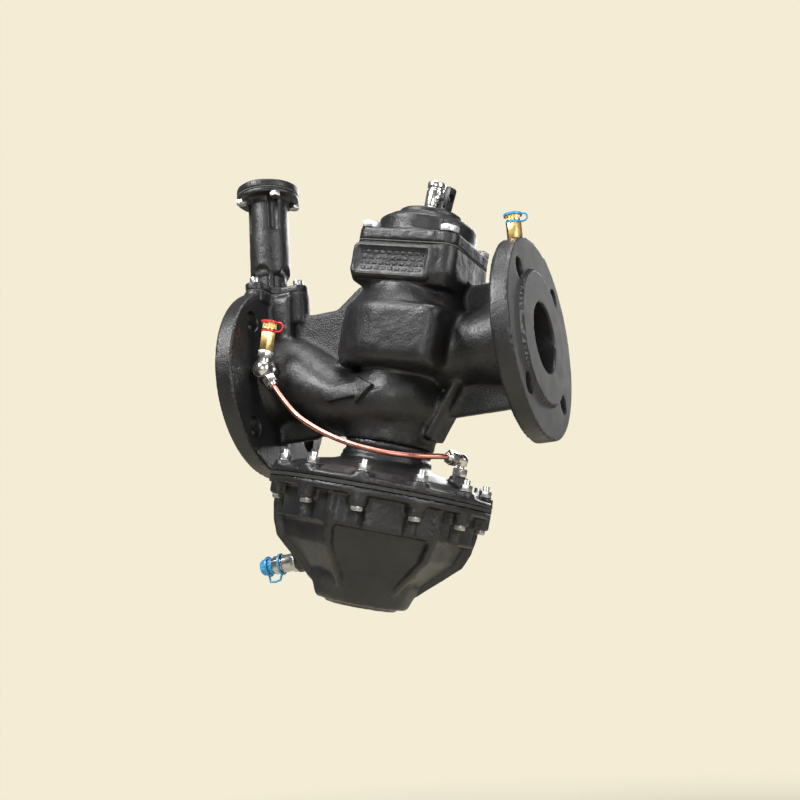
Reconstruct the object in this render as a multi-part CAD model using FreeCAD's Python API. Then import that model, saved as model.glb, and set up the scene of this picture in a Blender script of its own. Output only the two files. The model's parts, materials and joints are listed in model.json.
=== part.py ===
"""Flanged diaphragm pressure reducing valve, DN 65, with an inclined spindle.

Frame: origin at the centre of the inlet flange face, +X along the flow to the outlet,
+Z up.  Units are millimetres.  The spindle axis crosses the pipe axis at AXIS_X and leans
by TILT towards the outlet.  Sub-parts on that axis are drawn in the spindle frame, where z
is the distance along the spindle and x points down the slope, and are then inclined.
"""

import FreeCAD
import Part
import math
import os

from FreeCAD import Vector

# ---------------------------------------------------------------- driving dimensions
FACE_TO_FACE = 290.0        # series 1 length of a DN 65 valve
BORE_R = 32.5
BORE_DEPTH = 24.0           # straight bore behind each flange face
FLANGE_R = 92.5
FLANGE_T = 20.0             # over the raised face
RAISED_R = 61.0
RAISED_T = 3.0
FLANGE_PCD = 145.0
INLET_HOLE_R = 9.4
OUTLET_HOLE_R = 9.6

AXIS_X = 152.7
TILT = 15.0                 # degrees

SEAT_D = 3.0                # top of the seat ring along the spindle
LIFT = 14.0                 # valve opening at rest
DRUM_LOW, DRUM_TOP, DRUM_R = -13.0, 45.0, 64.0
BLOCK_LOW, BLOCK_TOP = 58.0, 103.0
BLOCK_X, BLOCK_Y, BLOCK_CORNER = 50.0, 48.0, 11.0
BLOCK_FLARE = 3.5           # extra half width near the foot of the block
BONNET_BOLT_PITCH = 39.5    # half the square pitch
GASKET_T = 1.0
COVER_PLATE_T = 11.5
COVER_TOP = 144.0

NECK_R = 42.0
NECK_LOW, NECK_TOP = -80.0, -62.0
SPIGOT_R, SPIGOT_LOW = 24.0, -92.0

JOINT_D = -124.0            # mid-plane of the clamped diaphragm
DIAPHRAGM_T = 3.0
RIM_R = 103.5
RIM_T = 6.5
CASING_BOLTS = 12
CASING_BOLT_R = 95.5
NUT_SEAT_D = -112.0
HEAD_SEAT_D = -142.0
BOWL_R = 92.0
BOWL_BOTTOM = -226.0

STEM_R = 8.0
UPPER_STEM_R = 6.0
RUN = 0.05                  # running clearance of a shaft in its bush

COLUMN_X = 12.0
PAD_TOP = 87.0
COLUMN_LOW = PAD_TOP + 0.8   # underside of the column, above its gasket
COLUMN_FOOT_T = 8.0
COLUMN_TOP = 197.5
COLUMN_R = 20.0
COLUMN_BOLT_R = 31.0
COLUMN_COVER_T = 8.0
COLUMN_COVER_R = 31.5
COLUMN_COVER_PCD_R = 27.5
PILOT_PORT_X = 22.5         # pressure port from the inlet neck to the column foot
PILOT_PORT_R = 3.0

TUBE_R = 2.5                # copper impulse tube

X, Y, Z = Vector(1, 0, 0), Vector(0, 1, 0), Vector(0, 0, 1)
ORIGIN = Vector(0, 0, 0)


# ---------------------------------------------------------------- small helpers
def disc(radius, low, high, x=0.0, y=0.0):
    """Upright cylinder from z = low to z = high."""
    return Part.makeCylinder(radius, high - low, Vector(x, y, low), Z)


def rod(radius, start, end):
    """Cylinder between two points."""
    return Part.makeCylinder(radius, (end - start).Length, start, end - start)


def ring(outer, inner, low, high, x=0.0, y=0.0):
    return disc(outer, low, high, x, y).cut(disc(inner, low - 1, high + 1, x, y))


def block(x0, x1, y0, y1, z0, z1):
    return Part.makeBox(x1 - x0, y1 - y0, z1 - z0, Vector(x0, y0, z0))


def turned(outline):
    """Solid of revolution about z from (radius, z) points."""
    points = [Vector(r, 0, z) for r, z in outline]
    return Part.Face(Part.makePolygon(points + points[:1])).revolve(ORIGIN, Z, 360)


def prism(sides, across_flats, low, high, turn=0.0):
    """Upright regular prism centred on z."""
    circum = across_flats / 2 / math.cos(math.pi / sides)
    corners = [polar(circum, turn + 360.0 * k / sides, low) for k in range(sides + 1)]
    return Part.Face(Part.makePolygon(corners)).extrude(Vector(0, 0, high - low))


def polar(radius, degrees, z=0.0):
    angle = math.radians(degrees)
    return Vector(radius * math.cos(angle), radius * math.sin(angle), z)


def rounded_slab(half_x, half_y, corner, low, high):
    """Rounded rectangle with upright sides."""
    slab = block(-half_x, half_x, -half_y, half_y, low, high)
    upright = [e for e in slab.Edges if abs(e.tangentAt(e.FirstParameter).z) > 0.99]
    return slab.makeFillet(corner, upright)


def fuse(shapes):
    shapes = list(shapes)
    return shapes[0].multiFuse(shapes[1:]).removeSplitter() if len(shapes) > 1 else shapes[0]


def cut(shape, tools):
    return shape.cut(list(tools))


def group(shapes):
    """Separate solids kept together in one sub-part."""
    return Part.makeCompound(list(shapes))


def inclined(shape):
    """Move a shape from the spindle frame to the valve frame."""
    moved = shape.copy()
    moved.rotate(ORIGIN, Y, TILT)
    moved.translate(Vector(AXIS_X, 0, 0))
    return moved


def on_spindle(point):
    """A spindle-frame point in the valve frame."""
    turn = FreeCAD.Rotation(Y, TILT)
    return turn.multVec(point) + Vector(AXIS_X, 0, 0)


def aimed(shape, point, direction):
    """Move a shape drawn about z so that z points along direction from point."""
    moved = shape.copy()
    moved.Placement = FreeCAD.Placement(point, FreeCAD.Rotation(Z, direction))
    return moved


def spring(mean_r, wire_r, low, high, turns):
    """Helical compression spring whose wire stays between low and high."""
    length = high - low - 2 * wire_r
    helix = Part.makeHelix(length / turns, length, mean_r)
    section = Part.Wire(Part.Circle(Vector(mean_r, 0, 0), Y, wire_r).toShape())
    coil = Part.Wire(helix.Edges).makePipeShell([section], True, True)
    coil.translate(Vector(0, 0, low + wire_r))
    return coil


def hex_bolt(size_r, across_flats, head_h, under_head, shank):
    """Hexagon-head bolt standing on z = under_head with its shank below."""
    head = prism(6, across_flats, under_head, under_head + head_h)
    chamfer = turned([(0, under_head), (across_flats * 0.6, under_head),
                      (across_flats * 0.6, under_head + head_h * 0.72),
                      (across_flats * 0.47, under_head + head_h), (0, under_head + head_h)])
    return fuse([head.common(chamfer), disc(size_r, under_head - shank, under_head)])


def around(shape, radius, count, first=0.0):
    """Copies of a shape drawn about z, spaced evenly on a circle."""
    copies = []
    for k in range(count):
        copy = shape.copy()
        copy.translate(polar(radius, first + 360.0 * k / count))
        copies.append(copy)
    return copies


# ---------------------------------------------------------------- body casting
def ellipse_section(x, z, half_width, half_height, slope):
    """Closed oval across the flow at (x, z); slope is the downward angle of the flow."""
    if half_width >= half_height:
        oval = Part.Ellipse(ORIGIN, half_width, half_height)
        wire = Part.Wire(oval.toShape())
        wire.rotate(ORIGIN, Z, 90)
    else:
        wire = Part.Wire(Part.Ellipse(ORIGIN, half_height, half_width).toShape())
    wire.rotate(ORIGIN, Y, 90 + slope)
    wire.translate(Vector(x, 0, z))
    return wire


# outside of the inlet passage: x, z, half width, half height, downward slope
INLET_OUTSIDE = [(18.0, 0.0, 41.0, 41.0, 0.0), (50.0, -4.0, 43.0, 38.0, 15.0),
                 (80.0, -24.0, 47.5, 32.0, 32.0), (110.0, -37.0, 50.0, 32.5, 16.0),
                 (146.0, -39.0, 51.0, 37.0, 0.0)]
BULB_CENTRE = Vector(145, 0, -38)
BULB_HALF = Vector(47, 53.5, 41)   # half sizes of the rounded chamber under the seat
# inside of the same passage
INLET_INSIDE = [(20.0, 0.0, 31.5, 31.6, 0.0), (50.0, -4.0, 33.0, 29.0, 15.0),
                (80.0, -24.0, 36.0, 22.0, 36.0), (108.0, -41.0, 38.0, 20.0, 20.0),
                (142.0, -46.0, 37.0, 19.0, 0.0)]


def passage(stations):
    return Part.makeLoft([ellipse_section(*station) for station in stations], True, False)


def outlet_neck():
    """Neck from the drum to the outlet flange, widening towards the flange."""
    return turned_x([(0, 150), (34, 150), (34, 222), (41, 262), (41, 275), (0, 275)])


def outlet_bore():
    mouth = FACE_TO_FACE - BORE_DEPTH
    return turned_x([(0, 150), (26, 150), (26, 215), (BORE_R - 1, mouth), (BORE_R, mouth),
                     (BORE_R, FACE_TO_FACE + 1), (0, FACE_TO_FACE + 1)])


def turned_x(outline):
    """Solid of revolution about the pipe axis from (radius, x) points."""
    points = [Vector(x, r, 0) for r, x in outline]
    return Part.Face(Part.makePolygon(points + points[:1])).revolve(ORIGIN, X, 360)


def flange(face_x, direction):
    """Raised-face flange whose face lies at face_x; direction points away from the pipe."""
    inward = Vector(-direction, 0, 0)
    face = Vector(face_x, 0, 0)
    raised = Part.makeCylinder(RAISED_R, RAISED_T + 1, face, inward)
    plate = Part.makeCylinder(FLANGE_R, FLANGE_T - RAISED_T, face + inward * RAISED_T, inward)
    plate = plate.makeChamfer(1.0, plate.Edges[:1])
    return fuse([raised, plate])


def flange_holes(face_x, direction, radius):
    inward = Vector(-direction, 0, 0)
    for k in range(4):
        centre = polar(FLANGE_PCD / 2, 45 + 90 * k)
        start = Vector(face_x, centre.x, centre.y) - inward
        yield Part.makeCylinder(radius, FLANGE_T + 2, start, inward)


def web():
    """Plate in the plane of the pipe and spindle that ties flanges, neck and chambers."""
    half = 5.0
    outline = [(18, -61), (96, -61), (140, -72), (172, -73), (194, -60), (272, -60),
               (272, 61), (196, 61), (190, 82), (112, 82), (86, 63), (18, 63)]
    points = [Vector(x, -half, z) for x, z in outline]
    return Part.Face(Part.makePolygon(points + points[:1])).extrude(Vector(0, 2 * half, 0))


def drum():
    """Upper chamber: round towards the inlet, flat-sided and squared off towards the outlet."""
    flat, end, corner = 41.0, 55.0, 14.0
    side, back = DRUM_R, DRUM_R - corner
    bend_x, bend_y = flat + corner * math.sin(math.pi / 4), back + corner * math.cos(math.pi / 4)
    outline = [arc_edge((0, side), (-side, 0), (0, -side)), line_edge((0, -side), (flat, -side)),
               arc_edge((flat, -side), (bend_x, -bend_y), (end, -back)),
               line_edge((end, -back), (end, back)), arc_edge((end, back), (bend_x, bend_y), (flat, side)),
               line_edge((flat, side), (0, side))]
    chamber = Part.Face(Part.Wire(outline)).extrude(Vector(0, 0, DRUM_TOP - DRUM_LOW))
    rims = [e for e in chamber.Edges if e.BoundBox.ZLength < 0.01]
    chamber = chamber.makeFillet(6.5, [e for e in rims if e.BoundBox.ZMin > 1])
    rims = [e for e in chamber.Edges if e.BoundBox.ZMax < 0.01]
    chamber = chamber.makeFillet(12.0, rims)
    chamber.translate(Vector(0, 0, DRUM_LOW))
    return fuse([chamber, disc(DRUM_R - 3.5, DRUM_LOW + 4, DRUM_TOP - 4)])


def line_edge(start, end):
    return Part.LineSegment(Vector(*start, 0), Vector(*end, 0)).toShape()


def arc_edge(start, middle, end):
    return Part.Arc(Vector(*start, 0), Vector(*middle, 0), Vector(*end, 0)).toShape()


def tapered_slab(low, low_grow, high, high_grow):
    """Rounded square whose half widths change from low to high."""
    sections = []
    for z, grow in ((low, low_grow), (high, high_grow)):
        slab = rounded_slab(BLOCK_X + grow, BLOCK_Y + grow, BLOCK_CORNER + grow * 0.5, z, z + 1)
        bottom = min(slab.Faces, key=lambda f: f.CenterOfMass.z)
        sections.append(bottom.OuterWire)
    return Part.makeLoft(sections, True, True)


def bonnet_block():
    """Rounded square head of the body and its flared root."""
    root = turned([(0, DRUM_TOP - 10), (62, DRUM_TOP - 10), (60, DRUM_TOP - 2), (52, BLOCK_LOW),
                   (49, BLOCK_LOW + 10), (0, BLOCK_LOW + 10)])
    middle = BLOCK_LOW + 18
    upper = tapered_slab(middle, BLOCK_FLARE, BLOCK_TOP, 0)
    lower = tapered_slab(BLOCK_LOW + 6, -1.0, middle, BLOCK_FLARE)
    return fuse([root, lower, upper])


def nameplate():
    """Raised frame on the front of the bonnet block."""
    front = -BLOCK_Y - BLOCK_FLARE
    frame = block(-48, 34, front - 2.0, front + 9, 68, 99)
    return frame.makeFillet(5, [e for e in frame.Edges if abs(e.tangentAt(0).y) > 0.99])


def nameplate_recess():
    front = -BLOCK_Y - BLOCK_FLARE
    return block(-43, 28, front - 4, front + 0.6, 73, 95)


def aimed_along_x(shape, point, direction):
    """Turns a shape drawn along x towards a direction in the XZ plane and moves it to the point."""
    moved = shape.copy()
    moved.rotate(ORIGIN, Y, -math.degrees(math.atan2(direction.z, direction.x)))
    moved.translate(point)
    return moved


def rib():
    """Thick rounded rib from the outlet chamber down to the neck collar."""
    top, foot, half, radius = Vector(213, 0, -22), Vector(175, 0, -77), 12.5, 5.8
    run = foot - top
    slab = Part.makeBox(run.Length, 2 * half, 2 * radius, Vector(0, -half, -radius))
    slab = aimed_along_x(slab, top, run)
    sides = []
    for y in (-half, half):
        side = Vector(0, y, 0)
        sides += [rod(radius, top + side, foot + side), Part.makeSphere(radius + 0.01, top + side)]
    return fuse([slab] + sides)


def body_neck():
    """Round collar below the bulb and the spigot that carries the casing."""
    return turned([(0, NECK_TOP + 14), (38, NECK_TOP + 14), (39.5, NECK_TOP + 2), (NECK_R, NECK_TOP),
                   (NECK_R, NECK_LOW), (SPIGOT_R, NECK_LOW), (SPIGOT_R, SPIGOT_LOW),
                   (0, SPIGOT_LOW)])


def bulb():
    """Egg-shaped chamber under the seat, where the inlet passage ends."""
    stretch = FreeCAD.Matrix()
    stretch.scale(BULB_HALF)
    egg = Part.makeSphere(1.0).transformGeometry(stretch)
    egg.translate(BULB_CENTRE)
    return egg


def seat_pocket():
    """Upright oval hollow below the seat."""
    oval = Part.Wire(Part.Ellipse(Vector(0, 0, -58), 39, 28).toShape())
    oval.rotate(ORIGIN, Z, 90)
    return Part.Face(oval).extrude(Vector(0, 0, 50))


def pilot_pad():
    """Mounting pad for the setpoint column and the post that joins it to the inlet neck."""
    top = PAD_TOP
    pad = fuse([disc(22, top - 11, top, COLUMN_X, 0)]
               + [disc(10.5, top - 11, top, COLUMN_X, s * COLUMN_BOLT_R) for s in (-1, 1)]
               + [block(COLUMN_X - 10.5, COLUMN_X + 10.5, -COLUMN_BOLT_R, COLUMN_BOLT_R, top - 11, top),
                  block(COLUMN_X, COLUMN_X + COLUMN_BOLT_R, -15, 15, top - 11, top),
                  disc(11, top - 30, top, COLUMN_X + COLUMN_BOLT_R, 0)])
    pad = pad.common(block(1.0, 80, -60, 60, top - 40, top))
    post = block(18, 42, -19, 19, 30, top - 5)
    return fuse([pad, post])


def neck_fillers():
    """Short cones where the pipe necks run into the flanges."""
    return [Part.makeCone(47, 40, 12, Vector(17, 0, 0), X), Part.makeCone(40, 47, 10, Vector(264, 0, 0), X)]


def bonnet_bolt_places():
    return [(sx * BONNET_BOLT_PITCH, sy * BONNET_BOLT_PITCH) for sx in (-1, 1) for sy in (-1, 1)]


def body_casting():
    outer = [flange(0, -1), flange(FACE_TO_FACE, 1), web(), rib(), pilot_pad(),
             passage(INLET_OUTSIDE), bulb(), outlet_neck(),
             aimed(disc(12, -14, 0), TEE_SEAT, TEE_AXIS)] + neck_fillers()
    outer += [inclined(s) for s in (drum(), bonnet_block(), nameplate(), body_neck())]
    casting = fuse(outer)

    hollow = [rod(BORE_R, Vector(-1, 0, 0), Vector(BORE_DEPTH, 0, 0)), passage(INLET_INSIDE), outlet_bore(),
              rod(5 + RUN, TEE_SEAT + TEE_AXIS * 2, TEE_SEAT - TEE_AXIS * 10.5),
              rod(2.5, TEE_SEAT, TEE_SEAT - TEE_AXIS * 25),
              disc(PILOT_PORT_R, 20, PAD_TOP + 1, PILOT_PORT_X, 0),
              block(-1, 62, -45, 45, PAD_TOP, PAD_TOP + 10)]
    inner = [nameplate_recess(), seat_pocket(),
             disc(30 + RUN, -9, 1), disc(54, 0, DRUM_TOP - 8), disc(36, 30, BLOCK_TOP + 1),
             disc(14 + RUN, SPIGOT_LOW - 1, -50), ring(75, SPIGOT_R, NECK_LOW - 22, NECK_LOW)]
    inner += [disc(5 + RUN, BLOCK_TOP - 26, BLOCK_TOP + 1, x, y) for x, y in bonnet_bolt_places()]
    hollow += [inclined(s) for s in inner]
    hollow += [disc(3 + RUN, PAD_TOP - 16, PAD_TOP + 1, x, y) for x, y in column_bolt_places()]
    hollow += list(flange_holes(0, -1, INLET_HOLE_R))
    hollow += list(flange_holes(FACE_TO_FACE, 1, OUTLET_HOLE_R))
    hollow.append(aimed(fuse([disc(3 + RUN, -9, 1), disc(9, -1.5, 9)]), OUTLET_PLUG_SEAT, OUTLET_PLUG_AXIS))
    return cut(casting, hollow)


# ---------------------------------------------------------------- seat, plug and stem
def seat_ring():
    return ring(30, 25, -8, 0).fuse(ring(33, 25, 0, SEAT_D)).removeSplitter()


def seat_bottom():
    return SEAT_D + LIFT


def main_plug():
    low = seat_bottom()
    body = turned([(0, low + 10), (29, low + 10), (31, low + 8), (31, low), (0, low)])
    guide = ring(24.6, 20, low - 13, low)
    windows = [block(-40, 40, -8, 8, low - 13.1, low - 3), block(-8, 8, -40, 40, low - 13.1, low - 3)]
    seal = ring(29, 25.2, low - 0.1, low + 2.6)
    return cut(body.fuse(guide.cut(windows)), [disc(UPPER_STEM_R, low - 20, low + 20), seal])


def plug_seal():
    low = seat_bottom()
    return ring(29, 25.2, low, low + 2.6)


def plug_nut():
    low = seat_bottom() + 10
    return prism(6, 18, low, low + 7).cut(disc(UPPER_STEM_R, low - 1, low + 9))


STEM_FOOT = -118.0


def stem():
    low = seat_bottom()
    return turned([(0, STEM_FOOT - 12), (6, STEM_FOOT - 12), (6, STEM_FOOT + 2), (STEM_R, STEM_FOOT + 2),
                   (STEM_R, low), (UPPER_STEM_R, low), (UPPER_STEM_R, 118), (4.5, 120), (0, 120)])


def stem_nut():
    low = STEM_FOOT - 12
    return prism(6, 17, low + 0.5, low + 5.5).cut(disc(6, low - 1, low + 9))


def upper_diaphragm_plate():
    low = STEM_FOOT
    return turned([(6, low), (62, low), (64, low + 2.5), (60, low + 4), (20, low + 4),
                   (14, low + 5), (8.05, low + 5), (8.05, low + 2), (6, low + 2)])


def diaphragm():
    """Rolling diaphragm: clamped rim, one convolution and the flat held by the plates."""
    low, mid, t = STEM_FOOT - DIAPHRAGM_T, JOINT_D - DIAPHRAGM_T / 2, DIAPHRAGM_T
    skin = turned([(6.1, low), (65, low), (72, low - 9), (78, low - 10), (83, mid), (RIM_R, mid),
                   (RIM_R, mid + t), (82, mid + t), (77, low - 6.5), (73.5, low - 6),
                   (67, low + t), (6.1, low + t)])
    return cut(skin, around(disc(3.4, mid - 5, mid + 8), CASING_BOLT_R, CASING_BOLTS, 15))


def lower_diaphragm_plate():
    top = STEM_FOOT - DIAPHRAGM_T
    return turned([(6, top), (60, top), (62, top - 2), (58, top - 3.4), (20, top - 3.4),
                   (14, top - 3), (6, top - 3)])


# ---------------------------------------------------------------- bushes and seals
def lower_guide_bush():
    return ring(14, STEM_R + RUN, -88, -54)


def stem_seal():
    return ring(14, STEM_R + RUN, -91, -88.2)


def neck_seal():
    """O-ring section gasket between the body collar and the casing."""
    return ring(30, 26, NECK_LOW - 2, NECK_LOW)


def upper_guide_bush():
    return ring(10, UPPER_STEM_R + RUN, 100, 121)


# ---------------------------------------------------------------- bonnet cover
def bonnet_gasket():
    sheet = rounded_slab(BLOCK_X, BLOCK_Y, BLOCK_CORNER, BLOCK_TOP, BLOCK_TOP + GASKET_T)
    holes = [disc(5.5, BLOCK_TOP - 1, BLOCK_TOP + 3, x, y) for x, y in bonnet_bolt_places()]
    return cut(sheet, holes + [disc(36.5, BLOCK_TOP - 1, BLOCK_TOP + 3)])


def bonnet_cover():
    """Square plate with a stepped round crown, bored for the spindle guide and the vent."""
    low = BLOCK_TOP + GASKET_T
    top = low + COVER_PLATE_T
    plate = rounded_slab(BLOCK_X, BLOCK_Y, BLOCK_CORNER, low, top)
    crown = turned([(0, top - 1), (47, top - 1), (47, COVER_TOP - 14), (45.5, COVER_TOP - 12),
                    (42, COVER_TOP - 10.5), (40, COVER_TOP - 8.5), (37, COVER_TOP - 7),
                    (30.5, COVER_TOP - 6), (30.5, COVER_TOP - 1.2), (29.3, COVER_TOP), (0, COVER_TOP)])
    spigot = disc(35.9, low - 5, low + 1)
    teeth = [block(-14 + 3.2 * k, -12.4 + 3.2 * k, -BLOCK_Y - 0.9, -BLOCK_Y + 1, low + 1.2, top - 1.5)
             for k in range(14)]
    solid = fuse([plate, crown, spigot] + teeth)
    holes = [disc(5.5, low - 1, top + 1, x, y) for x, y in bonnet_bolt_places()]
    spots = [disc(10.6, top, COVER_TOP, x, y) for x, y in bonnet_bolt_places()]
    inner = [disc(10, 99, 122), disc(9, 121, 128), disc(3, 125, COVER_TOP - 12),
             disc(6, COVER_TOP - 12, COVER_TOP + 1),
             turned([(0, 90), (30, 90), (30, 104), (24, 110), (18, 110), (18, 104), (12, 99), (0, 99)])]
    return cut(solid, holes + spots + inner)


def bonnet_bolts():
    top = BLOCK_TOP + GASKET_T + COVER_PLATE_T
    bolt = hex_bolt(5.0, 17, 6.4, top, 32)
    return group(around(bolt, BONNET_BOLT_PITCH * math.sqrt(2), 4, 45))


# ---------------------------------------------------------------- vent valve
VENT_BALL_D = COVER_TOP + 15.0
VENT_LEVER_TURN = -20.0     # direction of the lever spindle about the spindle axis


def vent_frame(shape):
    """From the vent's own frame, where the lever side is +x, to the spindle frame."""
    moved = shape.copy()
    moved.rotate(ORIGIN, Z, VENT_LEVER_TURN)
    return moved


def along_x(shape, z):
    """Turn a shape drawn about z so that its axis lies along x at height z."""
    moved = shape.copy()
    moved.rotate(ORIGIN, Y, 90)
    moved.translate(Vector(0, 0, z))
    return moved


def vent_valve_body():
    low = COVER_TOP
    body = turned([(0, low - 10), (6, low - 10), (6, low), (8.4, low), (8.4, low + 6), (7.8, low + 6.8),
                   (8.4, low + 7.6), (8.4, low + 23), (7.6, low + 24), (7.6, low + 26),
                   (8.6, low + 27), (8.6, low + 31), (7.8, low + 32), (0, low + 32)])
    side = along_x(disc(5.2, 0, 10.5), VENT_BALL_D)
    hollow = [disc(2.5, low - 11, low + 33), disc(5.6, VENT_BALL_D - 7, VENT_BALL_D + 7),
              along_x(disc(2 + RUN, 0, 11), VENT_BALL_D), disc(5.6, VENT_BALL_D, low + 33)]
    return vent_frame(cut(fuse([body, side]), hollow))


def vent_valve_seats():
    """Two soft rings that hold the ball from below and above."""
    ball = Part.makeSphere(5.0 + RUN, Vector(0, 0, VENT_BALL_D))
    lower = ring(5.6, 2.4, VENT_BALL_D - 7, VENT_BALL_D - 2.5).cut(ball)
    upper = ring(5.6, 2.4, VENT_BALL_D + 2.5, VENT_BALL_D + 7).cut(ball)
    return group([vent_frame(lower), vent_frame(upper)])


def vent_valve_ball():
    ball = Part.makeSphere(5.0, Vector(0, 0, VENT_BALL_D))
    bore = disc(2.4, VENT_BALL_D - 6, VENT_BALL_D + 6)
    socket = along_x(disc(2.0, 3.4, 8), VENT_BALL_D)
    return vent_frame(cut(ball, [bore, socket]))


def vent_valve_spindle():
    shaft = fuse([disc(2.0, 3.4, 14.0), disc(1.25, 14.0, 19.6)])
    return vent_frame(along_x(shaft, VENT_BALL_D))


def vent_lever():
    """Moulded lever: a hub on the spindle and a tapering grip along the valve body."""
    hub = along_x(disc(5.4, 11, 17), VENT_BALL_D)
    web_plate = block(11.5, 14.5, -4.4, 4.4, VENT_BALL_D - 10.5, VENT_BALL_D + 2)
    outline = [(11.5, -11.5), (21, -13.5), (23.5, 8), (21.5, 10.5), (17.5, 10.5), (11.5, -4)]
    points = [Vector(x, -4.2, VENT_BALL_D + z) for x, z in outline]
    grip = Part.Face(Part.makePolygon(points + points[:1])).extrude(Vector(0, 8.4, 0))
    solid = fuse([hub, web_plate, grip])
    hole = rod(1.6, Vector(18.6, -9, VENT_BALL_D - 9), Vector(18.6, 9, VENT_BALL_D - 9))
    pocket = along_x(disc(3.8, 16.2, 26), VENT_BALL_D)
    bore = along_x(disc(2.0, 10, 14), VENT_BALL_D).fuse(along_x(disc(1.25, 13.9, 17), VENT_BALL_D))
    return vent_frame(cut(solid, [hole, pocket, bore]))


def vent_lever_nut():
    nut = prism(6, 5, 16.2, 18.8).cut(disc(1.25, 15, 20))
    return vent_frame(along_x(nut, VENT_BALL_D))


# ---------------------------------------------------------------- diaphragm casing
def upper_diaphragm_cover():
    low = JOINT_D + DIAPHRAGM_T / 2
    shell = turned([(SPIGOT_R + RUN, NECK_LOW), (NECK_R - 1, NECK_LOW), (NECK_R - 1, -85),
                    (NECK_R - 3, -86), (NECK_R - 3, -89), (NECK_R, -90), (NECK_R, -97),
                    (50, -100), (70, -104), (86, -109.5), (90, NUT_SEAT_D - 0.5),
                    (96, low + RIM_T - 0.5), (RIM_R, low + RIM_T - 1), (RIM_R, low),
                    (84, low), (80, -117), (66, -111), (40, -105.5), (SPIGOT_R + RUN, -104)])
    bosses = [b.cut(disc(84, -140, -100)) for b in
              around(disc(8.2, low + 2, NUT_SEAT_D), CASING_BOLT_R, CASING_BOLTS, 15)]
    port = disc(8.5, -112, ELBOW_SEAT_D, *ELBOW_XY)
    vent = disc(9, -113, BLEED_SEAT_D, *BLEED_XY)
    solid = fuse([shell, port, vent] + bosses)
    holes = around(disc(3 + RUN, -140, -100), CASING_BOLT_R, CASING_BOLTS, 15)
    spot = around(disc(7.2, NUT_SEAT_D, NUT_SEAT_D + 9), CASING_BOLT_R, CASING_BOLTS, 15)
    seal_groove = ring(30, 26, NECK_LOW - 2, NECK_LOW + 1)
    passages = [disc(3 + RUN, -122, ELBOW_SEAT_D + 1, *ELBOW_XY),
                disc(3 + RUN, BLEED_SEAT_D - 9, BLEED_SEAT_D + 1, *BLEED_XY), seal_groove]
    return cut(solid, holes + spot + passages)


def hex_station(circum, z):
    corners = [polar(circum, 30 + 60 * k, z) for k in range(7)]
    return Part.makePolygon(corners)


def lower_casing():
    """Bowl: bolted rim, short wall with spanner flutes, six-sided cone and round foot."""
    top = JOINT_D - DIAPHRAGM_T / 2
    rim = disc(RIM_R, top - RIM_T, top)
    wall = disc(BOWL_R, -160, top - 1)
    cone = fuse([Part.makeLoft([hex_station(92, -150), hex_station(81, -178)], True, True),
                 Part.makeLoft([hex_station(81, -178), hex_station(47, -210)], True, True)])
    cone = cone.common(disc(BOWL_R, -212, -150))
    bosses = around(disc(8.2, HEAD_SEAT_D, top - 2), CASING_BOLT_R, CASING_BOLTS, 15)
    foot = turned([(0, -197), (50.5, -197), (50.5, -205), (43.5, -223), (41, BOWL_BOTTOM),
                   (34, BOWL_BOTTOM), (32, BOWL_BOTTOM - 3), (0, BOWL_BOTTOM - 3)])
    ribs = [casing_rib(30 + 60 * k) for k in range(6)]
    drain = aimed(disc(11, -26, 0), DRAIN_SEAT, DRAIN_AXIS)
    solid = fuse([rim, wall, cone, foot, drain] + bosses + ribs)
    inner = turned([(0, top + 1), (84, top + 1), (84, -140), (72, -160), (66, -178), (36, -208),
                    (36, -218), (0, -218)])
    holes = around(disc(3 + RUN, -150, -110), CASING_BOLT_R, CASING_BOLTS, 15)
    flutes = around(turned([(0, HEAD_SEAT_D), (8.2, HEAD_SEAT_D), (8.2, -160), (3, -176), (0, -176)]),
                    CASING_BOLT_R, CASING_BOLTS, 15)
    drill = aimed(disc(5 + RUN, -34, 1), DRAIN_SEAT, DRAIN_AXIS)
    return cut(solid, [inner, drill] + holes + flutes)


def casing_rib(degrees):
    """Upright rib down one corner of the bowl."""
    outline = [(60, -126), (95.5, -126), (95.5, -150), (92.5, -165), (87, -179), (55, -207), (50, -212),
               (30, -212)]
    points = [Vector(r, -3.7, z) for r, z in outline]
    plate = Part.Face(Part.makePolygon(points + points[:1])).extrude(Vector(0, 7.4, 0))
    plate.rotate(ORIGIN, Z, degrees)
    return plate


def casing_bolts():
    """Hexagon bolts with their heads under the bowl rim."""
    length = NUT_SEAT_D - HEAD_SEAT_D + 10
    bolt = hex_bolt(3.0, 10, 4.0, 0, length)
    bolt.rotate(ORIGIN, X, 180)
    bolt.translate(Vector(0, 0, HEAD_SEAT_D))
    return group(around(bolt, CASING_BOLT_R, CASING_BOLTS, 15))


def casing_nuts():
    low = NUT_SEAT_D + 0.8
    nut = prism(6, 10, low, low + 5, 15).cut(disc(3, low - 1, low + 6))
    return group(around(nut, CASING_BOLT_R, CASING_BOLTS, 15))


def casing_washers():
    low = NUT_SEAT_D
    return group(around(ring(6.2, 3.1, low, low + 0.8), CASING_BOLT_R, CASING_BOLTS, 15))


def main_spring():
    return spring(28.0, 3.6, BOWL_SPRING_SEAT, STEM_FOOT - DIAPHRAGM_T - 3.45, 6)


BOWL_SPRING_SEAT = -214.0


def spring_seat():
    return turned([(0, -218), (34, -218), (34, BOWL_SPRING_SEAT), (22, BOWL_SPRING_SEAT),
                   (20, BOWL_SPRING_SEAT + 4), (0, BOWL_SPRING_SEAT + 4)])


# ---------------------------------------------------------------- setpoint column
def column_bolt_places():
    return [(COLUMN_X, -COLUMN_BOLT_R), (COLUMN_X + COLUMN_BOLT_R, 0), (COLUMN_X, COLUMN_BOLT_R)]


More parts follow.
